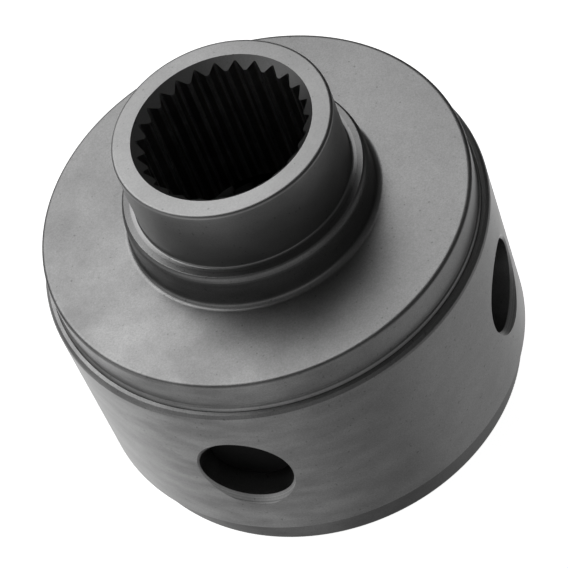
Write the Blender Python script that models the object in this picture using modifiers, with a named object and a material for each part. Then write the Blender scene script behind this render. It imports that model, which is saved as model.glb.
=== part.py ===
"""A four-pinion bevel differential, closed inside a cylindrical case.

The origin is the centre of the pinion shafts and +Z is the axis of the two outputs. The upper
and lower halves are the same pieces turned over. All the bevel cones meet at the origin.
"""

import math

import bmesh
import bpy
from mathutils import Matrix

MM = 0.001

# Case sleeve: a ring whose inside is a sphere, with a seat for a cover at each end.
SLEEVE_RADIUS = 38.7 * MM
SLEEVE_HALF = 17.1 * MM
SLEEVE_CHAMFER = 0.5 * MM
SEAT_RADIUS = 37.45 * MM
SEAT_FLOOR = 13.3 * MM
SPHERE_RADIUS = 30.3 * MM
SPHERE_STEPS = 4

# Shaft bores: 5/8 inch, countersunk from the outside.
BORE_RADIUS = 7.94 * MM
COUNTERSINK_FLOOR = 37.6 * MM
COUNTERSINK_SLOPE = 1.27
BORE_REACH = 42.0 * MM

# Covers.
FACE_Z = 23.5 * MM
RIM_RADIUS = 37.0 * MM
RIM_FILLET = 0.9 * MM
LAND_RADIUS = 37.15 * MM
LAND_TOP = 18.4 * MM
COVER_FOOT = 13.6 * MM
COVER_CAVITY = 27.2 * MM
COVER_CEILING = 19.3 * MM
COLLAR_RADIUS = 21.0 * MM
COLLAR_TOP = 30.3 * MM
COLLAR_CHAMFER = 0.32 * MM
COLLAR_CHAMFER_DROP = 1.0 * MM
COLLAR_FILLET = 1.3 * MM
COLLAR_BORE = 19.2 * MM
FILLET_STEPS = 3

# Side gear hubs and their involute splines: 26 teeth, 24/48 pitch, 45 degrees.
HUB_END = 43.5 * MM
HUB_RADIUS = 18.5 * MM
HUB_CHAMFER = 0.58 * MM
HUB_CHAMFER_DROP = 0.2 * MM
JOURNAL_RADIUS = 18.9 * MM
JOURNAL_TOP = 31.1 * MM
SPLINES = 26
SPLINE_CREST = 13.34 * MM
SPLINE_ROOT = 14.47 * MM
SPLINE_PHASE = math.radians(2.7)
CREST_SHARE = 0.16
ROOT_SHARE = 0.12
MOUTH_RADIUS = 15.15 * MM
FOOT_RADIUS = 14.75 * MM
PILOT_RADIUS = 12.0 * MM
CUTTER_REACH = 2.0 * MM

# Bevel gears. Heights are measured on the back cone at the wide end of the teeth.
SIDE_TEETH = 20
PINION_TEETH = 12
MODULE = 2.4 * MM
PRESSURE_ANGLE = math.radians(22.5)
ADDENDUM = 2.1 * MM
DEDENDUM = 2.5 * MM
FACE_WIDTH = 6.0 * MM
FLANK_BACKLASH = 0.16 * MM
SIDE_RADIUS = SIDE_TEETH * MODULE / 2
PINION_RADIUS = PINION_TEETH * MODULE / 2
CONE_LENGTH = math.hypot(SIDE_RADIUS, PINION_RADIUS)
TOE = 1 - FACE_WIDTH / CONE_LENGTH
CUTTER_OVERRUN = 0.08
SIDE_FLANK = (-DEDENDUM, 0.0, 1.2 * ADDENDUM)
PINION_FLANK = (-DEDENDUM, -0.4 * DEDENDUM, 0.35 * ADDENDUM, 1.2 * ADDENDUM)
ROOT_RIM = 0.1 * MM  # the blank stands this far below the roots of the teeth
SPHERE_BACK_STEPS = 2
SIDE_BACK = 17.9 * MM
PINION_BACK_SPHERE = 28.7 * MM
PINION_BORE = 7.97 * MM
PINION_NOSE = 19.2 * MM

# Shafts, spider, washers and pins.
PINIONS = 4
SHAFT_RADIUS = 7.64 * MM
SHAFT_END = 34.0 * MM
SHAFT_CHAMFER = 0.8 * MM
STUB_START = 8.0 * MM
SPIDER_RADIUS = 14.5 * MM
SPIDER_HALF = 9.8 * MM
SPIDER_CHAMFER = 1.0 * MM
PINION_WASHER_IN = 29.0 * MM
PINION_WASHER_OUT = 29.9 * MM
PINION_WASHER_BORE = 8.2 * MM
PINION_WASHER_RIM = 12.0 * MM
SIDE_WASHER_FOOT = 18.1 * MM
SIDE_WASHER_TOP = 19.1 * MM
SIDE_WASHER_RIM = 22.6 * MM
PIN_DISTANCE = 31.9 * MM
PIN_RADIUS = 1.0 * MM
PIN_TOP = 12.9 * MM
PIN_FOOT = -10.6 * MM
PIN_HOLE = 1.3 * MM

# Facets of each round shape.
SLEEVE_SIDES = 48
COVER_SIDES = 40
GEAR_SIDES = 40
PINION_SIDES = 24
SHAFT_SIDES = 24
WASHER_SIDES = 16
PIN_SIDES = 12
SHARP_ANGLE = math.radians(28)
TOUCHING = 1e-7

QUARTER = math.pi / 2
HALF_TURN = math.pi
TURN = 2 * math.pi


def clear_scene():
    for old in list(bpy.data.objects):
        bpy.data.objects.remove(old, do_unlink=True)


def new_collection(name):
    collection = bpy.data.collections.new(name)
    bpy.context.scene.collection.children.link(collection)
    return collection


def steel(name, grey, roughness):
    material = bpy.data.materials.new(name)
    material.use_nodes = True
    shader = material.node_tree.nodes["Principled BSDF"]
    shader.inputs["Base Color"].default_value = (grey, grey, grey, 1.0)
    shader.inputs["Roughness"].default_value = roughness
    shader.inputs["Metallic"].default_value = 1.0
    return material


def new_object(name, mesh, collection):
    piece = bpy.data.objects.new(name, mesh)
    collection.objects.link(piece)
    return piece


def turned(name, outline, sides, collection, closed=True):
    """A profile of (radius, height) points turned about Z, given down its outer side."""
    points = [(radius, 0.0, height) for radius, height in outline]
    edges = [(i, i + 1) for i in range(len(points) - 1)]
    if closed:
        edges.append((len(points) - 1, 0))
    mesh = bpy.data.meshes.new(name)
    mesh.from_pydata(points, edges, [])
    piece = new_object(name, mesh, collection)
    screw = piece.modifiers.new("Turn", "SCREW")
    screw.axis = "Z"
    screw.angle = TURN
    screw.steps = sides
    screw.render_steps = sides
    screw.use_merge_vertices = True
    screw.merge_threshold = TOUCHING
    return piece


def mesh_object(name, shape, collection):
    mesh = bpy.data.meshes.new(name)
    bmesh.ops.recalc_face_normals(shape, faces=shape.faces)
    shape.to_mesh(mesh)
    shape.free()
    return new_object(name, mesh, collection)


def loft(shape, sections):
    """Skins closed sections of equal length, one after another, and caps both ends."""
    rings = [[shape.verts.new(point) for point in section] for section in sections]
    for lower, upper in zip(rings, rings[1:]):
        for i in range(len(lower)):
            j = (i + 1) % len(lower)
            shape.faces.new((lower[i], lower[j], upper[j], upper[i]))
    shape.faces.new(list(reversed(rings[0])))
    shape.faces.new(rings[-1])


def as_cutter(piece):
    piece.hide_render = True
    piece.display_type = "WIRE"
    return piece


def cut(piece, cutter):
    boolean = piece.modifiers.new(f"Cut {cutter.name}", "BOOLEAN")
    boolean.operation = "DIFFERENCE"
    boolean.solver = "EXACT"
    boolean.object = cutter


def bake(piece, material):
    """Applies the modifiers, then shades the round faces smooth up to the sharp edges."""
    graph = bpy.context.evaluated_depsgraph_get()
    mesh = bpy.data.meshes.new_from_object(piece.evaluated_get(graph))
    mesh.name = piece.name
    piece.modifiers.clear()
    piece.data = mesh
    mesh.materials.clear()
    mesh.materials.append(material)
    mesh.shade_smooth()
    mesh.set_sharp_from_angle(angle=SHARP_ANGLE)
    return piece


def copy_of(piece, name, rotation, collection, material):
    mesh = piece.data.copy()
    mesh.materials.clear()
    mesh.materials.append(material)
    twin = new_object(name, mesh, collection)
    twin.rotation_euler = rotation
    return twin


def bar(name, radius, foot, top, chamfer, sides, collection):
    """A round bar on Z, chamfered at its top, and at its foot where the bar goes both ways."""
    outline = [(0.0, top), (radius - chamfer, top), (radius, top - chamfer)]
    if foot < 0:
        outline += [(radius, foot + chamfer), (radius - chamfer, foot), (0.0, foot)]
    else:
        outline += [(radius, foot), (0.0, foot)]
    return turned(name, outline, sides, collection, closed=False)


def quarter_arc(centre_radius, centre_height, fillet, start):
    """A quarter circle of an outline, down its outer side, from angle start (0 is up)."""
    angles = [start + QUARTER * i / FILLET_STEPS for i in range(FILLET_STEPS + 1)]
    return [
        (centre_radius + fillet * math.sin(a), centre_height + fillet * math.cos(a)) for a in angles
    ]


def sphere_outline(radius, low, high, steps):
    """Points on a sphere about the origin, from height low up to height high."""
    first = math.asin(low / radius)
    last = math.asin(high / radius)
    angles = [first + (last - first) * i / steps for i in range(steps + 1)]
    return [(radius * math.cos(a), radius * math.sin(a)) for a in angles]


def cross_bore_cutter(name, rotation_z, collection):
    """One bore right through the sleeve, with a countersink at each end, along X turned."""
    flare = BORE_RADIUS + (BORE_REACH - COUNTERSINK_FLOOR) * COUNTERSINK_SLOPE
    outline = [
        (0.0, BORE_REACH),
        (flare, BORE_REACH),
        (BORE_RADIUS, COUNTERSINK_FLOOR),
        (BORE_RADIUS, -COUNTERSINK_FLOOR),
        (flare, -BORE_REACH),
        (0.0, -BORE_REACH),
    ]
    cutter = turned(name, outline, SHAFT_SIDES, collection, closed=False)
    cutter.rotation_euler = (0.0, QUARTER, rotation_z)
    return as_cutter(cutter)


def pin_hole_cutter(index, collection):
    reach = SEAT_FLOOR + PIN_RADIUS
    floor = PIN_FOOT - (PIN_HOLE - PIN_RADIUS)
    outline = [(0.0, reach), (PIN_HOLE, reach), (PIN_HOLE, floor), (0.0, floor)]
    cutter = turned(f"pin_hole_{index + 1}", outline, PIN_SIDES, collection, closed=False)
    azimuth = index * QUARTER
    cutter.location = (PIN_DISTANCE * math.cos(azimuth), PIN_DISTANCE * math.sin(azimuth), 0.0)
    return as_cutter(cutter)


def case_sleeve(collection, bores, pin_holes, material):
    inside = sphere_outline(SPHERE_RADIUS, -SEAT_FLOOR, SEAT_FLOOR, SPHERE_STEPS)
    outline = [
        (SLEEVE_RADIUS - SLEEVE_CHAMFER, SLEEVE_HALF),
        (SLEEVE_RADIUS, SLEEVE_HALF - SLEEVE_CHAMFER),
        (SLEEVE_RADIUS, SLEEVE_CHAMFER - SLEEVE_HALF),
        (SLEEVE_RADIUS - SLEEVE_CHAMFER, -SLEEVE_HALF),
        (SEAT_RADIUS, -SLEEVE_HALF),
        (SEAT_RADIUS, -SEAT_FLOOR),
        *inside,
        (SEAT_RADIUS, SEAT_FLOOR),
        (SEAT_RADIUS, SLEEVE_HALF),
    ]
    sleeve = turned("case_sleeve", outline, SLEEVE_SIDES, collection)
    for cutter in bores + pin_holes:
        cut(sleeve, cutter)
    return bake(sleeve, material)


def cover(name, collection, material):
    foot_arc = quarter_arc(
        COLLAR_RADIUS + COLLAR_FILLET, FACE_Z + COLLAR_FILLET, COLLAR_FILLET, -HALF_TURN
    )
    rim_arc = quarter_arc(RIM_RADIUS - RIM_FILLET, FACE_Z - RIM_FILLET, RIM_FILLET, 0.0)
    outline = [
        (COLLAR_RADIUS - COLLAR_CHAMFER, COLLAR_TOP),
        (COLLAR_RADIUS, COLLAR_TOP - COLLAR_CHAMFER_DROP),
        *reversed(foot_arc),
        *rim_arc,
        (RIM_RADIUS, LAND_TOP),
        (LAND_RADIUS, LAND_TOP - (LAND_RADIUS - RIM_RADIUS)),
        (LAND_RADIUS, COVER_FOOT),
        (COVER_CAVITY, COVER_FOOT),
        (COVER_CAVITY, COVER_CEILING),
        (COLLAR_BORE, COVER_CEILING),
        (COLLAR_BORE, COLLAR_TOP),
    ]
    return bake(turned(name, outline, COVER_SIDES, collection), material)


def involute(angle):
    return math.tan(angle) - angle


def half_space(height, pitch_radius, slope_angle, teeth):
    """Half the angle of the gap between two teeth, at a height on the back cone."""
    back_radius = pitch_radius / math.cos(slope_angle)
    base_radius = back_radius * math.cos(PRESSURE_ANGLE)
    here = back_radius + height
    on_flank = max(here, base_radius)
    pitch_thickness = (math.pi * MODULE / 2 - 2 * FLANK_BACKLASH) / (2 * back_radius)
    flank_angle = math.acos(base_radius / on_flank)
    tooth = (pitch_thickness + involute(PRESSURE_ANGLE) - involute(flank_angle)) * here
    return math.pi / teeth - tooth / (pitch_radius + height * math.cos(slope_angle))


def tooth_space_cutters(name, teeth, pitch_radius, apex_height, phase, heights, collection):
    """Every gap of one bevel gear, each a loft that narrows towards the apex at the origin."""
    slope_angle = math.atan2(pitch_radius, apex_height)
    flank = [(h, half_space(h, pitch_radius, slope_angle, teeth)) for h in heights]
    outline = flank + [(h, -angle) for h, angle in reversed(flank)]
    shape = bmesh.new()
    for tooth in range(teeth):
        middle = phase + TURN * tooth / teeth
        sections = []
        for scale in (TOE - CUTTER_OVERRUN, 1 + CUTTER_OVERRUN):
            section = []
            for height, angle in outline:
                radius = scale * (pitch_radius + height * math.cos(slope_angle))
                level = scale * (apex_height - height * math.sin(slope_angle))
                turn = middle + angle
                section.append((radius * math.cos(turn), radius * math.sin(turn), level))
            sections.append(section)
        loft(shape, sections)
    return as_cutter(mesh_object(name, shape, collection))


def blank_corner(pitch_radius, apex_height, height, scale):
    """A corner of a bevel blank, as (radius, height) along the gear's own axis."""
    slope_angle = math.atan2(pitch_radius, apex_height)
    radius = scale * (pitch_radius + height * math.cos(slope_angle))
    level = scale * (apex_height - height * math.sin(slope_angle))
    return radius, level


def spline_cutter(collection):
    """The whole splined bore as one star-shaped prism."""
    pitch = TURN / SPLINES
    section = []
    for tooth in range(SPLINES):
        middle = SPLINE_PHASE + pitch * tooth
        corners = (
            (SPLINE_ROOT, -ROOT_SHARE / 2),
            (SPLINE_ROOT, ROOT_SHARE / 2),
            (SPLINE_CREST, 0.5 - CREST_SHARE / 2),
            (SPLINE_CREST, 0.5 + CREST_SHARE / 2),
        )
        for radius, share in corners:
            angle = middle + share * pitch
            section.append((radius * math.cos(angle), radius * math.sin(angle)))
    shape = bmesh.new()
    loft(shape, [[(x, y, z) for x, y in section] for z in (0.0, HUB_END + CUTTER_REACH)])
    return as_cutter(mesh_object("spline_broach", shape, collection))


def chamfer_cutter(name, wide_radius, wide_height, direction, collection):
    """A 45 degree cone that opens at wide_height; direction +1 narrows downwards."""
    over = CUTTER_REACH
    depth = wide_radius - PILOT_RADIUS
    rows = [
        (0.0, wide_height + direction * over),
        (wide_radius + over, wide_height + direction * over),
        (wide_radius - depth, wide_height - direction * depth),
        (0.0, wide_height - direction * depth),
    ]
    outline = rows if direction > 0 else list(reversed(rows))
    return as_cutter(turned(name, outline, 2 * SPLINES, collection, closed=False))


def side_gear(name, collection, cutters, material):
    heel_tip = blank_corner(SIDE_RADIUS, PINION_RADIUS, ADDENDUM, 1.0)
    heel_root = blank_corner(SIDE_RADIUS, PINION_RADIUS, -DEDENDUM, 1.0)
    toe_tip = blank_corner(SIDE_RADIUS, PINION_RADIUS, ADDENDUM, TOE)
    toe_root = blank_corner(SIDE_RADIUS, PINION_RADIUS, -DEDENDUM, TOE)
    outline = [
        (HUB_RADIUS - HUB_CHAMFER, HUB_END),
        (HUB_RADIUS, HUB_END - HUB_CHAMFER_DROP),
        (HUB_RADIUS, JOURNAL_TOP),
        (JOURNAL_RADIUS, JOURNAL_TOP - (JOURNAL_RADIUS - HUB_RADIUS)),
        (JOURNAL_RADIUS, SIDE_BACK),
        (heel_root[0] - ROOT_RIM, SIDE_BACK),
        (heel_root[0] - ROOT_RIM, heel_root[1] + ROOT_RIM),
        heel_tip,
        toe_tip,
        (toe_root[0] - ROOT_RIM, toe_root[1] + ROOT_RIM),
        (PILOT_RADIUS, toe_root[1] + ROOT_RIM),
        (PILOT_RADIUS, HUB_END),
    ]
    gear = turned(name, outline, GEAR_SIDES, collection)
    foot = toe_root[1] + ROOT_RIM
    first_gap = math.pi / SIDE_TEETH
    gaps = tooth_space_cutters(
        "side_gear_gaps", SIDE_TEETH, SIDE_RADIUS, PINION_RADIUS, first_gap, SIDE_FLANK, cutters
    )
    cut(gear, gaps)
    cut(gear, spline_cutter(cutters))
    cut(gear, chamfer_cutter("mouth_chamfer", MOUTH_RADIUS, HUB_END, 1, cutters))
    cut(gear, chamfer_cutter("foot_chamfer", FOOT_RADIUS, foot, -1, cutters))
    return bake(gear, material)


def pinion_gear(name, collection, cutters, material):
    """A pinion on its own Z axis, turned to lie along X by the caller."""
    heel_tip = blank_corner(PINION_RADIUS, SIDE_RADIUS, ADDENDUM, 1.0)
    heel_root = blank_corner(PINION_RADIUS, SIDE_RADIUS, -DEDENDUM, 1.0)
    toe_tip = blank_corner(PINION_RADIUS, SIDE_RADIUS, ADDENDUM, TOE)
    toe_root = blank_corner(PINION_RADIUS, SIDE_RADIUS, -DEDENDUM, TOE)
    rim_height = math.sqrt(PINION_BACK_SPHERE**2 - (heel_root[0] - ROOT_RIM) ** 2)
    hub_height = math.sqrt(PINION_BACK_SPHERE**2 - PINION_BORE**2)
    back = sphere_outline(PINION_BACK_SPHERE, rim_height, hub_height, SPHERE_BACK_STEPS)
    outline = [
        *reversed(back),
        (heel_root[0] - ROOT_RIM, heel_root[1] + ROOT_RIM),
        heel_tip,
        toe_tip,
        (toe_root[0] - ROOT_RIM, toe_root[1] + ROOT_RIM),
        (toe_root[0] - ROOT_RIM, PINION_NOSE),
        (PINION_BORE, PINION_NOSE),
    ]
    gear = turned(name, outline, PINION_SIDES, collection)
    gaps = tooth_space_cutters(
        "pinion_gaps", PINION_TEETH, PINION_RADIUS, SIDE_RADIUS, 0.0, PINION_FLANK, cutters
    )
    cut(gear, gaps)
    return bake(gear, material)


def pinion_washer(name, collection, material):
    """A dished washer between a pinion's back and the sphere inside the sleeve."""

    def arc(radius):
        low = math.sqrt(radius**2 - PINION_WASHER_RIM**2)
        high = math.sqrt(radius**2 - PINION_WASHER_BORE**2)
        return sphere_outline(radius, low, high, SPHERE_BACK_STEPS)

    outline = [*reversed(arc(PINION_WASHER_OUT)), *arc(PINION_WASHER_IN)]
    return bake(turned(name, outline, WASHER_SIDES, collection), material)


def side_washer(name, collection, material):
    outline = [
        (SIDE_WASHER_RIM, SIDE_WASHER_TOP),
        (SIDE_WASHER_RIM, SIDE_WASHER_FOOT),
        (COLLAR_BORE, SIDE_WASHER_FOOT),
        (COLLAR_BORE, SIDE_WASHER_TOP),
    ]
    return bake(turned(name, outline, GEAR_SIDES, collection), material)


def spider_block(collection, bore_cutters, material):
    half = SPIDER_HALF
    edge = SPIDER_RADIUS - SPIDER_CHAMFER
    outline = [
        (0.0, half),
        (edge, half),
        (SPIDER_RADIUS, half - SPIDER_CHAMFER),
        (SPIDER_RADIUS, SPIDER_CHAMFER - half),
        (edge, -half),
        (0.0, -half),
    ]
    block = turned("spider_block", outline, SHAFT_SIDES, collection, closed=False)
    for cutter in bore_cutters:
        cut(block, cutter)
    return bake(block, material)


def shafts(collection, pin_holes, material):
    """One long shaft along X and two stubs along Y that end at its sides."""
    long_shaft = bar(
        "cross_shaft", SHAFT_RADIUS, -SHAFT_END, SHAFT_END, SHAFT_CHAMFER, SHAFT_SIDES, collection
    )
    long_shaft.rotation_euler = (0.0, QUARTER, 0.0)
    cut(long_shaft, pin_holes[0])
    cut(long_shaft, pin_holes[2])
    bake(long_shaft, material)
    for index, name in ((1, "stub_shaft_a"), (3, "stub_shaft_b")):
        stub = bar(name, SHAFT_RADIUS, STUB_START, SHAFT_END, SHAFT_CHAMFER, SHAFT_SIDES, collection)
        stub.rotation_euler = (0.0, QUARTER, index * QUARTER)
        cut(stub, pin_holes[index])
        bake(stub, material)


def lock_pin(index, collection, material):
    name = f"shaft_lock_pin_{index + 1}"
    outline = [(0.0, PIN_TOP), (PIN_RADIUS, PIN_TOP), (PIN_RADIUS, PIN_FOOT), (0.0, PIN_FOOT)]
    pin = bake(turned(name, outline, PIN_SIDES, collection, closed=False), material)
    offset = Matrix.Rotation(index * QUARTER, 4, "Z") @ Matrix.Translation((PIN_DISTANCE, 0, 0))
    pin.matrix_world = offset


def build():
    clear_scene()
    parts = new_collection("differential_gear_assembly")
    cutters = new_collection("cutters")
    case_steel = steel("phosphated_case_steel", 0.3, 0.4)
    gear_steel = steel("phosphated_gear_steel", 0.3, 0.38)
    shaft_steel = steel("blackened_shaft_steel", 0.06, 0.45)
    washer_steel = steel("washer_steel", 0.45, 0.35)
    pin_steel = steel("pin_steel", 0.4, 0.35)

    bores = [cross_bore_cutter(f"cross_bore_{i + 1}", i * QUARTER, cutters) for i in range(2)]
    pin_holes = [pin_hole_cutter(i, cutters) for i in range(PINIONS)]
    turned_over = (HALF_TURN, 0.0, 0.0)

    case_sleeve(parts, bores, pin_holes, case_steel)
    upper_cover = cover("upper_cover", parts, case_steel)
    copy_of(upper_cover, "lower_cover", turned_over, parts, case_steel)
    upper_gear = side_gear("upper_side_gear", parts, cutters, gear_steel)
    copy_of(upper_gear, "lower_side_gear", turned_over, parts, gear_steel)
    upper_washer = side_washer("upper_side_gear_thrust_washer", parts, washer_steel)
    copy_of(upper_washer, "lower_side_gear_thrust_washer", turned_over, parts, washer_steel)

    first_pinion = pinion_gear("pinion_gear_1", parts, cutters, gear_steel)
    first_pinion.rotation_euler = (0.0, QUARTER, 0.0)
    first_washer = pinion_washer("pinion_thrust_washer_1", parts, washer_steel)
    first_washer.rotation_euler = (0.0, QUARTER, 0.0)
    for index in range(1, PINIONS):
        along = (0.0, QUARTER, index * QUARTER)
        copy_of(first_pinion, f"pinion_gear_{index + 1}", along, parts, gear_steel)
        copy_of(first_washer, f"pinion_thrust_washer_{index + 1}", along, parts, washer_steel)

    spider_block(parts, bores, shaft_steel)
    shafts(parts, pin_holes, shaft_steel)
    for index in range(PINIONS):
        lock_pin(index, parts, pin_steel)


build()
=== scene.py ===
"""The looks of the differential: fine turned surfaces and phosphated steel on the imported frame."""

import math

import bmesh
import bpy
from mathutils import Matrix, Vector


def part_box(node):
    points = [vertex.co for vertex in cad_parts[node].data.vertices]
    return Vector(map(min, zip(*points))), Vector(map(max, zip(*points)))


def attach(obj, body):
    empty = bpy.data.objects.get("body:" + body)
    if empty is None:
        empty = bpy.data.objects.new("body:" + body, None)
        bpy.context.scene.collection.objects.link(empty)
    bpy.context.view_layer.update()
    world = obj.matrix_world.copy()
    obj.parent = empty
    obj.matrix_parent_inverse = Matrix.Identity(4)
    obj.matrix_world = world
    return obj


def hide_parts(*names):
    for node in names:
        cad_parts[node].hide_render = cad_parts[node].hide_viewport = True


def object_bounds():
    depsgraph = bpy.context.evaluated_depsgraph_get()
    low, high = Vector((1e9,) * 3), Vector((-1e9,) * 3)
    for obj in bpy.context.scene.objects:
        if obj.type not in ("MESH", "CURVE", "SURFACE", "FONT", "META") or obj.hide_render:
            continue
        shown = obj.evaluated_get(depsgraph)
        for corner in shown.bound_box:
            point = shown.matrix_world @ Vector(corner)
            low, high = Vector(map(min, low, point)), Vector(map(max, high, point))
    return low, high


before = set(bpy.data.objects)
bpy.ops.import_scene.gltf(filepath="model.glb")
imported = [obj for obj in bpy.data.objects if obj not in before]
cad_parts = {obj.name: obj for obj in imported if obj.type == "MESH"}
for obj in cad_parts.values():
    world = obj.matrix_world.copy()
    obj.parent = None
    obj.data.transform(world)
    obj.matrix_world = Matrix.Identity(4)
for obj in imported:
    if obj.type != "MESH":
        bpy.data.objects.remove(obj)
CAD_BOX = [list(corner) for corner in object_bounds()]

MM = 0.001
TURN = 2 * math.pi
QUARTER = math.pi / 2
TOUCHING = 1e-7
SHARP_ANGLE = math.radians(32)

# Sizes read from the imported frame.
SLEEVE_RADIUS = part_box("case_sleeve")[1].x
SLEEVE_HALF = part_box("case_sleeve")[1].z
LAND_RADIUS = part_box("upper_cover")[1].x
COLLAR_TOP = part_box("upper_cover")[1].z
COVER_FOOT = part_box("upper_cover")[0].z
HUB_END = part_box("upper_side_gear")[1].z
SHAFT_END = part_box("cross_shaft")[1].x
SHAFT_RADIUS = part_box("cross_shaft")[1].z
STUB_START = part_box("stub_shaft_a")[0].y
FLOOR_Z = CAD_BOX[0][2]

# Sleeve.
SLEEVE_TOP = SLEEVE_HALF - 0.13 * MM
SLEEVE_LIP = SLEEVE_HALF + 0.05 * MM
SLEEVE_SHOULDER = SLEEVE_RADIUS - 0.62 * MM
SLEEVE_BREAK = SLEEVE_RADIUS - 0.18 * MM
SLEEVE_BREAK_Z = SLEEVE_TOP - 0.5 * MM
SLEEVE_WALL_TOP = SLEEVE_TOP - 0.95 * MM
SEAT_RADIUS = 37.45 * MM
SEAT_FLOOR = 13.3 * MM
SPHERE_RADIUS = 30.3 * MM
BORE_RADIUS = 7.94 * MM
COUNTERSINK_FLOOR = 37.6 * MM
COUNTERSINK_SLOPE = 1.27
BORE_REACH = 42.0 * MM
PIN_DISTANCE = 31.9 * MM
PIN_HOLE = 1.3 * MM
PIN_HOLE_FLOOR = -10.9 * MM

# Covers.
FACE_Z = COLLAR_TOP - 6.8 * MM
RIM_RADIUS = LAND_RADIUS - 0.15 * MM
RIM_FILLET = 0.8 * MM
LAND_CROWN = FACE_Z - 5.5 * MM
LAND_BROW = FACE_Z - 5.75 * MM
LAND_BROW_RADIUS = RIM_RADIUS + 0.24 * MM
COVER_CAVITY = 27.2 * MM
COVER_CEILING = 19.3 * MM
COLLAR_RADIUS = 21.0 * MM
# The collar's rounded top edge in mm, as (inwards, down) from the corner it takes off.
COLLAR_ROUNDING = ((0.6, 0.0), (0.4, 0.2), (0.2, 0.55), (0.07, 1.0), (0.0, 1.45))
COLLAR_FOOT_RADIUS = 21.33 * MM
COLLAR_FILLET = 1.1 * MM

# Side gear hubs and splines. The shares are parts of a spline's pitch, and a root rises by
# ROOT_RISE from its middle to its sides.
HUB_RADIUS = 18.5 * MM
HUB_EDGE = 0.6 * MM
JOURNAL_RADIUS = 18.9 * MM
HUB_FOOT_Z = COLLAR_TOP + 0.02 * MM
HUB_FOOT_FILLET = 0.85 * MM
HUB_LAP_RADIUS = HUB_RADIUS + HUB_FOOT_FILLET + 0.02 * MM
JOURNAL_TOP = COLLAR_TOP + 0.01 * MM
SPLINES = 26
SPLINE_CREST = 13.34 * MM
SPLINE_ROOT = 14.47 * MM
SPLINE_PHASE = math.radians(2.7)
CREST_SHARE = 0.16
ROOT_SHARE = 0.22
ROOT_RISE = 0.22 * MM
MOUTH_RADIUS = 15.15 * MM
FOOT_RADIUS = 14.75 * MM
PILOT_RADIUS = 12.0 * MM

# Bevel teeth of the side gears. The gear's body stands in from the tooth roots by ROOT_STEP.
SIDE_TEETH = 20
PINION_TEETH = 12
MODULE = 2.4 * MM
PRESSURE_ANGLE = math.radians(22.5)
ADDENDUM = 2.1 * MM
DEDENDUM = 2.5 * MM
FACE_WIDTH = 6.0 * MM
FLANK_BACKLASH = 0.16 * MM
SIDE_RADIUS = SIDE_TEETH * MODULE / 2
PINION_RADIUS = PINION_TEETH * MODULE / 2
CONE_LENGTH = math.hypot(SIDE_RADIUS, PINION_RADIUS)
TOE = 1 - FACE_WIDTH / CONE_LENGTH
CUTTER_OVERRUN = 0.08
CUTTER_HEIGHT = 1.2 * ADDENDUM
FLANK_STEPS = 6
SIDE_BACK = 17.9 * MM
ROOT_STEP = 0.1 * MM

# Shafts.
SHAFT_CHAMFER = 0.8 * MM

# Fits drawn nearly closed, as they look on the real part.
SNUG = 0.03 * MM
SNUG_LAND = SEAT_RADIUS - SNUG
SNUG_COLLAR_BORE = JOURNAL_RADIUS + SNUG

# Small edge radii, and the share of a side that one rounded corner may take.
EDGE = 0.12 * MM
FINE_EDGE = 0.06 * MM
SETBACK_LIMIT = 0.45

# Handling has smeared the case most on one side, and half of its top is duller. Both grow from
# the axis outwards over their reach.
HANDLED_SIDE = (math.cos(math.radians(-45)), math.sin(math.radians(-45)), 0.0)
HANDLED_REACH = 30.0 * MM
LEAST_HANDLED = 0.25
DULL_SIDE = (math.cos(math.radians(-120)), math.sin(math.radians(-120)), 0.0)
DULL_REACH = 25.0 * MM

# Noise scales of the steels, in cycles per metre, and the streaks' tilt in radians.
CLOUD_SCALE = 60.0
BLOTCH_SCALE = 420.0
CRYSTAL_SCALE = 3600.0
SPOT_SCALE = 1700.0
RING_SCALE = 5200.0
STREAK_SCALE = (100.0, 100.0, 320.0)
STREAK_TILT = (0.3, -0.3, 0.0)

# How the noises shade a steel.
BLOTCH_SHARE = 0.6
SPOT_EDGE = (0.77, 0.84)
SPOT_TONE = 0.7
RING_TONES = (0.75, 1.8)
# The crest highlight tones paint highlight and shade into the splined bore by radius.
CREST_HIGHLIGHT_TONES = (0.7, 1.6)
RELIEF_STRENGTH = 0.2
RELIEF_DEPTH = 0.02 * MM

# How much of its tone the case's coat loses on the dull half of its top, and how much painted
# shade darkens the collar beside the hub and the lower cover under the case.
TOP_LOSS = 0.13
COLLAR_PAINTED_SHADE = 0.2
LOWER_COVER_PAINTED_SHADE = 0.42

# Facets.
BODY_SIDES = 256
HUB_SIDES = 200
BORE_SIDES = 96
PIN_SIDES = 24
SEAT_STEPS = 16
ROOT_STEPS = 4

# Camera: it looks close to the middle of the case, from above one cover and rolled to one side.
CAMERA_TARGET = Vector((0.0, -0.6, 0.2)) * MM
CAMERA_AZIMUTH = math.radians(28.9)
CAMERA_ELEVATION = math.radians(50.6)
CAMERA_ROLL = math.radians(23.0)
CAMERA_DISTANCE = 0.4386
CAMERA_LENS = 160.3
SENSOR = 36.0

# Light of the room below, at and high above the horizon, and the heights on the unit sphere
# between which it changes.
ROOM_LOW = 0.03
ROOM_MIDDLE = 0.05
ROOM_TOP = 0.07
ROOM_LOW_BAND = (-0.15, 0.05)
ROOM_TOP_BAND = (0.3, 0.8)

# Soft lights in degrees: (azimuth, elevation, inner and outer half angle, strength).
LIGHTS = (
    (-126.0, 51.0, 4.0, 34.0, 2.3),
    (-143.0, -49.0, 4.0, 56.0, 1.38),
    (110.0, -39.0, 4.0, 43.0, 0.49),
    (-54.0, -22.0, 20.0, 67.0, 0.48),
    (24.0, -24.0, 11.0, 67.0, 0.31),
    (-40.0, 30.0, 5.0, 55.0, 0.12),
)

# Floor.
FLOOR_HALF = 3.0
FLOOR_GREY = 0.9
FLOOR_GLOW = 0.93


# ---------------------------------------------------------------- shapes


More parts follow.
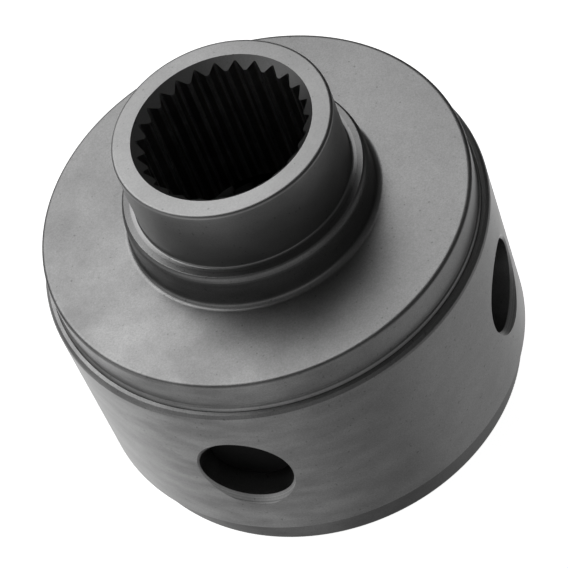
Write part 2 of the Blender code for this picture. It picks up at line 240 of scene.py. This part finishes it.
def rounded(corners, steps=4):
    """An outline of (radius, height, edge) corners, each rounded over about its edge radius."""
    outline = []
    count = len(corners)
    for i, (x, z, edge) in enumerate(corners):
        here = Vector((x, z))
        if edge == 0:
            outline.append((x, z))
            continue
        before = Vector(corners[i - 1][:2]) - here
        after = Vector(corners[(i + 1) % count][:2]) - here
        half = before.angle(after) / 2
        room = SETBACK_LIMIT * min(before.length, after.length)
        setback = min(edge / math.tan(half), room)
        start = here + before.normalized() * setback
        end = here + after.normalized() * setback
        for step in range(steps + 1):
            t = step / steps
            point = start.lerp(here, t).lerp(here.lerp(end, t), t)
            outline.append((point.x, point.y))
    return outline


def turned(name, outline, sides, material=None, closed=True):
    """A profile turned about Z, given down its outer side, as an object with a Screw modifier."""
    points = [(radius, 0.0, height) for radius, height in outline]
    edges = [(i, i + 1) for i in range(len(points) - 1)]
    if closed:
        edges.append((len(points) - 1, 0))
    mesh = bpy.data.meshes.new(name)
    mesh.materials.append(material)
    mesh.from_pydata(points, edges, [])
    piece = bpy.data.objects.new(name, mesh)
    bpy.context.scene.collection.objects.link(piece)
    screw = piece.modifiers.new("Turn", "SCREW")
    screw.angle = TURN
    screw.steps = sides
    screw.render_steps = sides
    screw.use_merge_vertices = True
    screw.merge_threshold = TOUCHING
    return piece


def mesh_object(name, shape, material=None):
    """An object from a bmesh, which is used up."""
    mesh = bpy.data.meshes.new(name)
    mesh.materials.append(material)
    bmesh.ops.recalc_face_normals(shape, faces=shape.faces)
    shape.to_mesh(mesh)
    shape.free()
    piece = bpy.data.objects.new(name, mesh)
    bpy.context.scene.collection.objects.link(piece)
    return piece


def loft(shape, sections):
    """Skins closed sections of equal length, one after another, and caps both ends."""
    rings = [[shape.verts.new(point) for point in section] for section in sections]
    for lower, upper in zip(rings, rings[1:]):
        for i in range(len(lower)):
            j = (i + 1) % len(lower)
            shape.faces.new((lower[i], lower[j], upper[j], upper[i]))
    shape.faces.new(list(reversed(rings[0])))
    shape.faces.new(rings[-1])


def cut(piece, cutter):
    """Cuts a shape out of a piece; the cut faces take the cutter's material, if it has one."""
    boolean = piece.modifiers.new("Cut", "BOOLEAN")
    boolean.operation = "DIFFERENCE"
    boolean.solver = "EXACT"
    boolean.object = cutter
    boolean.material_mode = "TRANSFER"


def finished(piece, cutters=()):
    """Applies the modifiers, removes the cutters and shades round faces smooth."""
    graph = bpy.context.evaluated_depsgraph_get()
    mesh = bpy.data.meshes.new_from_object(piece.evaluated_get(graph))
    piece.modifiers.clear()
    piece.data = mesh
    for cutter in cutters:
        bpy.data.objects.remove(cutter, do_unlink=True)
    mesh.shade_smooth()
    mesh.set_sharp_from_angle(angle=SHARP_ANGLE)
    even_normals(piece)
    return piece


def even_normals(piece):
    """Keeps flat faces flat in the shading, next to their small rounded edges."""
    normals = piece.modifiers.new("Even normals", "WEIGHTED_NORMAL")
    normals.keep_sharp = True
    normals.weight = 100


def turned_over(piece, name):
    """A copy for the lower half, turned over about X in its mesh."""
    twin = bpy.data.objects.new(name, piece.data.copy())
    twin.data.transform(Matrix.Rotation(math.pi, 4, "X"))
    bpy.context.scene.collection.objects.link(twin)
    even_normals(twin)
    return twin


def placed(piece, body, node):
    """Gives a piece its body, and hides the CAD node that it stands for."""
    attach(piece, body)
    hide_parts(node)


# ---------------------------------------------------------------- sleeve


def bore_cutter(rotation_z, material):
    """A bore right through the sleeve, with a countersunk mouth at each end."""
    flare = BORE_RADIUS + (BORE_REACH - COUNTERSINK_FLOOR) * COUNTERSINK_SLOPE
    corners = [
        (0.0, BORE_REACH, 0.0),
        (flare, BORE_REACH, 0.0),
        (BORE_RADIUS, COUNTERSINK_FLOOR, EDGE),
        (BORE_RADIUS, -COUNTERSINK_FLOOR, EDGE),
        (flare, -BORE_REACH, 0.0),
        (0.0, -BORE_REACH, 0.0),
    ]
    cutter = turned("bore_cutter", rounded(corners), BORE_SIDES, material, closed=False)
    cutter.rotation_euler = (0.0, QUARTER, rotation_z)
    return cutter


def pin_hole_cutter(azimuth):
    """A blind hole for a lock pin, down from the upper cover's seat."""
    reach = SEAT_FLOOR + MM
    outline = [(0.0, reach), (PIN_HOLE, reach), (PIN_HOLE, PIN_HOLE_FLOOR), (0.0, PIN_HOLE_FLOOR)]
    cutter = turned("pin_hole_cutter", outline, PIN_SIDES, closed=False)
    cutter.location = (PIN_DISTANCE * math.cos(azimuth), PIN_DISTANCE * math.sin(azimuth), 0.0)
    return cutter


def sleeve(material, bore_material):
    """The case sleeve: a sphere inside, a seat for each cover, the bores and the pin holes."""
    limit = math.asin(SEAT_FLOOR / SPHERE_RADIUS)
    angles = [limit * (2 * i / SEAT_STEPS - 1) for i in range(SEAT_STEPS + 1)]
    inside = [(SPHERE_RADIUS * math.cos(a), SPHERE_RADIUS * math.sin(a), 0.0) for a in angles]
    corners = [
        (SLEEVE_SHOULDER, SLEEVE_TOP, FINE_EDGE),
        (SLEEVE_BREAK, SLEEVE_BREAK_Z, EDGE),
        (SLEEVE_RADIUS, SLEEVE_WALL_TOP, EDGE),
        (SLEEVE_RADIUS, -SLEEVE_TOP, EDGE),
        (SEAT_RADIUS, -SLEEVE_LIP, FINE_EDGE),
        (SEAT_RADIUS, -SEAT_FLOOR, 0.0),
        *inside,
        (SEAT_RADIUS, SEAT_FLOOR, 0.0),
        (SEAT_RADIUS, SLEEVE_LIP, FINE_EDGE),
    ]
    piece = turned("sleeve_body", rounded(corners), BODY_SIDES, material)
    cutters = [bore_cutter(0.0, bore_material), bore_cutter(QUARTER, bore_material)]
    cutters += [pin_hole_cutter(i * QUARTER) for i in range(4)]
    for cutter in cutters:
        cut(piece, cutter)
    return finished(piece, cutters)


# ---------------------------------------------------------------- covers


def cover(material):
    """The upper cover with its collar, in one turned piece."""
    edge = [
        (COLLAR_RADIUS - inwards * MM, COLLAR_TOP - down * MM, 2 * EDGE)
        for inwards, down in COLLAR_ROUNDING
    ]
    corners = [
        *edge,
        (COLLAR_FOOT_RADIUS, FACE_Z, COLLAR_FILLET),
        (RIM_RADIUS, FACE_Z, RIM_FILLET),
        (RIM_RADIUS, LAND_CROWN, FINE_EDGE),
        (LAND_BROW_RADIUS, LAND_BROW, EDGE),
        (SNUG_LAND, SLEEVE_LIP, FINE_EDGE),
        (SNUG_LAND, COVER_FOOT, EDGE),
        (COVER_CAVITY, COVER_FOOT, EDGE),
        (COVER_CAVITY, COVER_CEILING, EDGE),
        (SNUG_COLLAR_BORE, COVER_CEILING, EDGE),
        (SNUG_COLLAR_BORE, COLLAR_TOP, EDGE),
    ]
    return finished(turned("upper_cover_body", rounded(corners, 6), BODY_SIDES, material))


# ---------------------------------------------------------------- side gears


def involute(angle):
    """The involute function, which gives a tooth's thickness away from its pitch circle."""
    return math.tan(angle) - angle


def half_space(height, slope_angle):
    """Half the angle of the gap between two teeth, at a height on the back cone."""
    back_radius = SIDE_RADIUS / math.cos(slope_angle)
    base_radius = back_radius * math.cos(PRESSURE_ANGLE)
    here = back_radius + height
    on_flank = max(here, base_radius)
    pitch_thickness = (math.pi * MODULE / 2 - 2 * FLANK_BACKLASH) / (2 * back_radius)
    flank_angle = math.acos(base_radius / on_flank)
    tooth = (pitch_thickness + involute(PRESSURE_ANGLE) - involute(flank_angle)) * here
    return math.pi / SIDE_TEETH - tooth / (SIDE_RADIUS + height * math.cos(slope_angle))


def cone_point(height, scale, slope_angle):
    """The radius and level of a height on the back cone, scaled towards the cones' apex."""
    radius = scale * (SIDE_RADIUS + height * math.cos(slope_angle))
    level = scale * (PINION_RADIUS - height * math.sin(slope_angle))
    return radius, level


def tooth_gap_cutter(slope_angle):
    """Every gap between the bevel teeth, each a loft that narrows towards the origin."""
    depth = CUTTER_HEIGHT + DEDENDUM
    heights = [-DEDENDUM + depth * i / FLANK_STEPS for i in range(FLANK_STEPS + 1)]
    flank = [(h, half_space(h, slope_angle)) for h in heights]
    outline = flank + [(h, -angle) for h, angle in reversed(flank)]
    shape = bmesh.new()
    for tooth in range(SIDE_TEETH):
        middle = (tooth + 0.5) * TURN / SIDE_TEETH
        sections = []
        for scale in (TOE - CUTTER_OVERRUN, 1 + CUTTER_OVERRUN):
            section = []
            for height, angle in outline:
                radius, level = cone_point(height, scale, slope_angle)
                turn = middle + angle
                section.append((radius * math.cos(turn), radius * math.sin(turn), level))
            sections.append(section)
        loft(shape, sections)
    return mesh_object("gap_cutter", shape)


def spline_cutter(material):
    """The splined bore as a prism: pointed grooves with rounded roots, and narrow flat crests."""
    pitch = TURN / SPLINES
    section = []
    for tooth in range(SPLINES):
        middle = SPLINE_PHASE + pitch * tooth
        shares = []
        for i in range(ROOT_STEPS + 1):
            t = 2 * i / ROOT_STEPS - 1
            shares.append((SPLINE_ROOT - ROOT_RISE * t * t, ROOT_SHARE / 2 * t))
        shares.append((SPLINE_CREST, 0.5 - CREST_SHARE / 2))
        shares.append((SPLINE_CREST, 0.5 + CREST_SHARE / 2))
        for radius, share in shares:
            angle = middle + share * pitch
            section.append((radius * math.cos(angle), radius * math.sin(angle)))
    shape = bmesh.new()
    loft(shape, [[(x, y, z) for x, y in section] for z in (0.0, HUB_END + 2 * MM)])
    return mesh_object("spline_cutter", shape, material)


def cone_cutter(wide_radius, wide_height, direction):
    """A 45 degree cone from wide_height in to the pilot bore; direction +1 narrows downwards."""
    over = MM
    depth = wide_radius - PILOT_RADIUS
    rows = [
        (0.0, wide_height + direction * over),
        (wide_radius + over, wide_height + direction * over),
        (PILOT_RADIUS, wide_height - direction * depth),
        (0.0, wide_height - direction * depth),
    ]
    outline = rows if direction > 0 else list(reversed(rows))
    return turned("cone_cutter", outline, HUB_SIDES, closed=False)


def side_gear(material, spline_material):
    """The upper side gear in one piece with its splined hub."""
    slope_angle = math.atan2(SIDE_RADIUS, PINION_RADIUS)
    heel_tip = cone_point(ADDENDUM, 1.0, slope_angle)
    heel_root = cone_point(-DEDENDUM, 1.0, slope_angle)
    toe_tip = cone_point(ADDENDUM, TOE, slope_angle)
    toe_root = cone_point(-DEDENDUM, TOE, slope_angle)
    foot = toe_root[1] + ROOT_STEP
    corners = [
        (HUB_RADIUS, HUB_END, HUB_EDGE),
        (HUB_RADIUS, HUB_FOOT_Z, HUB_FOOT_FILLET),
        (HUB_LAP_RADIUS, HUB_FOOT_Z, 0.0),
        (HUB_LAP_RADIUS, JOURNAL_TOP, 0.0),
        (JOURNAL_RADIUS, JOURNAL_TOP, 0.0),
        (JOURNAL_RADIUS, SIDE_BACK, EDGE),
        (heel_root[0] - ROOT_STEP, SIDE_BACK, EDGE),
        (heel_root[0] - ROOT_STEP, heel_root[1] + ROOT_STEP, 0.0),
        (*heel_tip, 0.0),
        (*toe_tip, 0.0),
        (toe_root[0] - ROOT_STEP, foot, 0.0),
        (PILOT_RADIUS, foot, 0.0),
        (PILOT_RADIUS, HUB_END, 0.0),
    ]
    piece = turned("upper_side_gear_body", rounded(corners), HUB_SIDES, material)
    cutters = [
        tooth_gap_cutter(slope_angle),
        spline_cutter(spline_material),
        cone_cutter(MOUTH_RADIUS, HUB_END, 1),
        cone_cutter(FOOT_RADIUS, foot, -1),
    ]
    for cutter in cutters:
        cut(piece, cutter)
    return finished(piece, cutters)


# ---------------------------------------------------------------- shafts


def shaft(name, start, rotation_z, material):
    """A shaft that ends inside a bore; one that starts past the centre is chamfered there too."""
    corners = [
        (0.0, SHAFT_END, 0.0),
        (SHAFT_RADIUS - SHAFT_CHAMFER, SHAFT_END, EDGE),
        (SHAFT_RADIUS, SHAFT_END - SHAFT_CHAMFER, EDGE),
    ]
    if start < 0:
        corners += [
            (SHAFT_RADIUS, start + SHAFT_CHAMFER, EDGE),
            (SHAFT_RADIUS - SHAFT_CHAMFER, start, EDGE),
            (0.0, start, 0.0),
        ]
    else:
        corners += [(SHAFT_RADIUS, start, EDGE), (0.0, start, 0.0)]
    outline = rounded(corners)
    piece = finished(turned(name, outline, BORE_SIDES, material, closed=False))
    turn = Matrix.Rotation(rotation_z, 4, "Z") @ Matrix.Rotation(QUARTER, 4, "Y")
    piece.data.transform(turn)
    return piece


# ---------------------------------------------------------------- materials


class Nodes:
    """A short way to add shader nodes to one node tree and link them."""

    def __init__(self, tree):
        self.tree = tree

    def add(self, kind, inputs=(), **settings):
        """A new node; an input is either a socket to link from or a value."""
        node = self.tree.nodes.new(kind)
        for key, value in settings.items():
            setattr(node, key, value)
        for socket, value in dict(inputs).items():
            if isinstance(value, bpy.types.NodeSocket):
                self.tree.links.new(value, node.inputs[socket])
            else:
                node.inputs[socket].default_value = value
        return node

    def noise(self, vector, scale, detail, roughness=0.55):
        """Noise from 0 to 1, mostly near the middle."""
        inputs = {"Vector": vector, "Scale": scale, "Detail": detail, "Roughness": roughness}
        return self.add("ShaderNodeTexNoise", inputs).outputs["Fac"]

    def span(self, value, low, high, to_low, to_high):
        """A value that runs from one level to another between two limits, and stays there."""
        inputs = {
            "Value": value,
            "From Min": low,
            "From Max": high,
            "To Min": to_low,
            "To Max": to_high,
        }
        return self.add("ShaderNodeMapRange", inputs).outputs["Result"]

    def math(self, operation, first, second=0.0):
        node = self.add("ShaderNodeMath", {0: first, 1: second}, operation=operation)
        return node.outputs["Value"]

    def place(self):
        """The place on the object, in the object's own coordinates."""
        return self.add("ShaderNodeTexCoord").outputs["Object"]

    def height(self, place):
        return self.add("ShaderNodeSeparateXYZ", {0: place}).outputs["Z"]

    def along(self, place, direction):
        """How far a place lies in a direction."""
        inputs = {0: place, 1: direction}
        node = self.add("ShaderNodeVectorMath", inputs, operation="DOT_PRODUCT")
        return node.outputs["Value"]

    def distance_across(self, place, kept_axes):
        """How far a place is from an axis, with the coordinates that count given as ones."""
        inputs = {0: place, 1: kept_axes}
        across = self.add("ShaderNodeVectorMath", inputs, operation="MULTIPLY").outputs["Vector"]
        return self.add("ShaderNodeVectorMath", {0: across}, operation="LENGTH").outputs["Value"]


def phosphated_steel(name, grey, roughness, mottle=0.06, grain=0.15, wipe=0.05, edge=1.0):
    """Turned steel under a grey phosphate coat: mottling, wiped streaks, fine grain and pits."""
    material = bpy.data.materials.new(name)
    material.use_nodes = True
    tree = material.node_tree
    nodes = Nodes(tree)
    shader = tree.nodes["Principled BSDF"]
    place = nodes.place()
    tilted = {"Vector": place, "Rotation": STREAK_TILT, "Scale": STREAK_SCALE}
    stretched = nodes.add("ShaderNodeMapping", tilted).outputs["Vector"]

    clouds = nodes.noise(place, CLOUD_SCALE, 5.0)
    blotches = nodes.noise(place, BLOTCH_SCALE, 4.0, 0.6)
    streaks = nodes.noise(stretched, 1.0, 4.0, 0.5)
    crystals = nodes.noise(place, CRYSTAL_SCALE, 2.0, 0.7)
    spots = nodes.noise(place, SPOT_SCALE, 0.0)

    cloudy = nodes.span(clouds, 0.3, 0.7, 1.0 - mottle, 1.0 + mottle)
    fine_mottle = BLOTCH_SHARE * mottle
    blotchy = nodes.span(blotches, 0.3, 0.7, 1.0 - fine_mottle, 1.0 + fine_mottle)
    patch = nodes.span(nodes.along(place, HANDLED_SIDE), 0.0, HANDLED_REACH, LEAST_HANDLED, 1.0)
    smear = nodes.math("MULTIPLY", nodes.span(streaks, 0.35, 0.65, -wipe, wipe), patch)
    wiped = nodes.math("ADD", smear, 1.0)
    grainy = nodes.span(crystals, 0.25, 0.75, 1.0 - grain, 1.0 + grain)
    pitted = nodes.span(spots, *SPOT_EDGE, 1.0, SPOT_TONE)
    tone = nodes.math("MULTIPLY", cloudy, blotchy)
    for factor in (wiped, grainy, pitted, grey):
        tone = nodes.math("MULTIPLY", tone, factor)
    colour = nodes.add("ShaderNodeCombineColor", {"Red": tone, "Green": tone, "Blue": tone})
    tree.links.new(colour.outputs["Color"], shader.inputs["Base Color"])

    dull = nodes.span(streaks, 0.3, 0.7, roughness - 0.02, roughness + 0.03)
    tree.links.new(dull, shader.inputs["Roughness"])
    shader.inputs["Metallic"].default_value = 1.0
    shader.inputs["Specular Tint"].default_value = (edge, edge, edge, 1.0)

    relief = nodes.math("ADD", crystals, nodes.math("MULTIPLY", blotches, 0.5))
    depth = {"Height": relief, "Strength": RELIEF_STRENGTH, "Distance": RELIEF_DEPTH}
    bump = nodes.add("ShaderNodeBump", depth)
    tree.links.new(bump.outputs["Normal"], shader.inputs["Normal"])
    return material


def retone(material, factor):
    """Scale a material's base colour by one more shading value."""
    tree = material.node_tree
    nodes = Nodes(tree)
    shader = tree.nodes["Principled BSDF"]
    old = shader.inputs["Base Color"].links[0].from_socket
    scaled = nodes.add("ShaderNodeVectorMath", {0: old, "Scale": factor}, operation="SCALE")
    tree.links.new(scaled.outputs["Vector"], shader.inputs["Base Color"])


def case_phosphate(name, grey, roughness):
    """The case's coat: duller on half of the top, with painted shade on the collar and the lower
    cover.
    """
    material = phosphated_steel(name, grey, roughness, wipe=0.2, edge=0.85)
    nodes = Nodes(material.node_tree)
    place = nodes.place()
    height = nodes.height(place)
    dulled = nodes.span(nodes.along(place, DULL_SIDE), 0.0, DULL_REACH, 0.0, TOP_LOSS)
    on_top = nodes.span(height, FACE_Z - 1.0 * MM, FACE_Z, 0.0, 1.0)
    # Painted shade: the collar is darkened for the shade it stands in beside the hub.
    collar = nodes.span(height, FACE_Z + 0.2 * MM, FACE_Z + 1.2 * MM, 0.0, COLLAR_PAINTED_SHADE)
    # Painted shade: the lower cover is darkened for the shade under the case.
    below = nodes.span(height, -SLEEVE_HALF - 0.1 * MM, -SLEEVE_HALF, LOWER_COVER_PAINTED_SHADE, 0.0)
    lost = nodes.math("ADD", nodes.math("MULTIPLY", dulled, on_top), collar)
    lost = nodes.math("ADD", lost, below)
    retone(material, nodes.math("SUBTRACT", 1.0, lost))
    return material


def bored_steel(name, grey, roughness):
    """Phosphated steel in the shaft bores, with fine rings about each bore's own axis."""
    material = phosphated_steel(name, grey, roughness)
    nodes = Nodes(material.node_tree)
    place = nodes.place()
    from_x = nodes.distance_across(place, (0.0, 1.0, 1.0))
    from_y = nodes.distance_across(place, (1.0, 0.0, 1.0))
    ring = nodes.math("MULTIPLY", nodes.math("MINIMUM", from_x, from_y), RING_SCALE)
    along_rings = nodes.add("ShaderNodeCombineXYZ", {"X": ring}).outputs["Vector"]
    rings = nodes.noise(along_rings, 1.0, 1.0, 0.5)
    retone(material, nodes.span(rings, 0.3, 0.7, *RING_TONES))
    return material


def broached_steel(name, grey, roughness):
    """Steel in the splined bore: painted highlight along the crests and roots, painted shade on the
    flanks.
    """
    material = phosphated_steel(name, grey, roughness, mottle=0.1)
    nodes = Nodes(material.node_tree)
    radius = nodes.distance_across(nodes.place(), (1.0, 1.0, 0.0))
    half_depth = (SPLINE_ROOT - SPLINE_CREST) / 2
    from_middle = nodes.math("SUBTRACT", radius, SPLINE_CREST + half_depth)
    distance = nodes.math("ABSOLUTE", from_middle)
    # Painted highlight on the crests and roots where the light catches them, and painted shade on
    # the flanks.
    retone(material, nodes.span(distance, 0.6 * half_depth, 0.95 * half_depth, *CREST_HIGHLIGHT_TONES))
    return material


# ---------------------------------------------------------------- studio


def compass(azimuth, elevation):
    """A unit vector from its azimuth and elevation."""
    flat = math.cos(elevation)
    return Vector((flat * math.cos(azimuth), flat * math.sin(azimuth), math.sin(elevation)))


def plain_floor():
    """A wide white floor under the object, which neither lights it nor shows in its steel."""
    floor_mesh = bmesh.new()
    bmesh.ops.create_grid(floor_mesh, x_segments=1, y_segments=1, size=FLOOR_HALF)
    material = bpy.data.materials.new("pale_floor")
    floor = mesh_object("floor", floor_mesh, material)
    floor.location.z = FLOOR_Z
    material.use_nodes = True
    shader = material.node_tree.nodes["Principled BSDF"]
    shader.inputs["Base Color"].default_value = (FLOOR_GREY, FLOOR_GREY, FLOOR_GREY, 1.0)
    shader.inputs["Roughness"].default_value = 0.9
    shader.inputs["Specular IOR Level"].default_value = 0.0
    shader.inputs["Emission Color"].default_value = (1.0, 1.0, 1.0, 1.0)
    shader.inputs["Emission Strength"].default_value = FLOOR_GLOW
    floor.visible_glossy = False
    floor.visible_diffuse = False


def studio_world():
    """A dim room whose light depends on direction only, with soft lights all round."""
    world = bpy.data.worlds.new("studio")
    bpy.context.scene.world = world
    world.use_nodes = True
    nodes = Nodes(world.node_tree)
    direction = nodes.add("ShaderNodeTexCoord").outputs["Generated"]
    height = nodes.height(direction)
    level = nodes.span(height, *ROOM_LOW_BAND, ROOM_LOW, ROOM_MIDDLE)
    above = nodes.span(height, *ROOM_TOP_BAND, 0.0, ROOM_TOP - ROOM_MIDDLE)
    level = nodes.math("ADD", level, above)
    for azimuth, elevation, inner, outer, strength in LIGHTS:
        towards = compass(math.radians(azimuth), math.radians(elevation))
        edge, middle = math.cos(math.radians(outer)), math.cos(math.radians(inner))
        lobe = nodes.span(nodes.along(direction, towards), edge, middle, 0.0, strength)
        lobe.node.interpolation_type = "SMOOTHSTEP"
        level = nodes.math("ADD", level, lobe)
    background = world.node_tree.nodes["Background"]
    world.node_tree.links.new(level, background.inputs["Strength"])
    background.inputs["Color"].default_value = (1.0, 1.0, 1.0, 1.0)


def camera():
    """The camera: level on its target first, then rolled."""
    data = bpy.data.cameras.new("camera")
    data.lens = CAMERA_LENS
    data.sensor_width = SENSOR
    data.clip_start = 0.01
    data.clip_end = 20.0
    rig = bpy.data.objects.new("camera", data)
    bpy.context.scene.collection.objects.link(rig)
    back = compass(CAMERA_AZIMUTH, CAMERA_ELEVATION)
    level = (-back).to_track_quat("-Z", "Y").to_matrix().to_4x4()
    place = Matrix.Translation(CAMERA_TARGET + back * CAMERA_DISTANCE)
    rig.matrix_world = place @ level @ Matrix.Rotation(-CAMERA_ROLL, 4, "Z")
    bpy.context.scene.camera = rig


# ---------------------------------------------------------------- assembly


def build():
    """Every piece that is drawn again, new materials on the kept CAD meshes, and the studio."""
    case_steel = case_phosphate("case_phosphate", 0.28, 0.38)
    bore_steel = bored_steel("bored_phosphate", 0.28, 0.37)
    gear_steel = phosphated_steel("gear_phosphate", 0.275, 0.34, grain=0.1, wipe=0.02)
    spline_steel = broached_steel("broached_steel", 0.5, 0.3)
    # Painted shade: the shafts and the spider are made near-black, so that what shows of them deep
    # in the bores reads as shade.
    shaft_shade_steel = phosphated_steel("near_black_shade_steel", 0.009, 0.6, mottle=0.2)
    washer_steel = phosphated_steel("washer_steel", 0.5, 0.32)
    pin_steel = phosphated_steel("pin_steel", 0.45, 0.3)
    # Painted shade: the pinions are made near-black, as they show only in the shade inside the case.
    shaded_pinion_steel = phosphated_steel("pinion_shade_steel", 0.03, 0.4)

    placed(sleeve(case_steel, bore_steel), "case", "case_sleeve")
    upper_cover = cover(case_steel)
    lower_cover = turned_over(upper_cover, "lower_cover_body")
    placed(upper_cover, "case", "upper_cover")
    placed(lower_cover, "case", "lower_cover")
    upper_gear = side_gear(gear_steel, spline_steel)
    lower_gear = turned_over(upper_gear, "lower_side_gear_body")
    placed(upper_gear, "upper_output", "upper_side_gear")
    placed(lower_gear, "lower_output", "lower_side_gear")
    long_shaft = shaft("cross_shaft_body", -SHAFT_END, 0.0, shaft_shade_steel)
    placed(long_shaft, "case", "cross_shaft")
    for index, letter in ((1, "a"), (3, "b")):
        stub = shaft(f"stub_shaft_{letter}_body", STUB_START, index * QUARTER, shaft_shade_steel)
        placed(stub, "case", f"stub_shaft_{letter}")

    kept = {
        "pinion_gear": shaded_pinion_steel,
        # The spider takes the near-black painted shade as well.
        "spider": shaft_shade_steel,
        "washer": washer_steel,
        "pin_": pin_steel,
    }
    for name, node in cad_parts.items():
        for word, material in kept.items():
            if word in name:
                for slot in node.material_slots:
                    slot.material = material
                break

    plain_floor()
    studio_world()
    camera()
    bpy.context.scene.view_settings.view_transform = "Standard"


build()
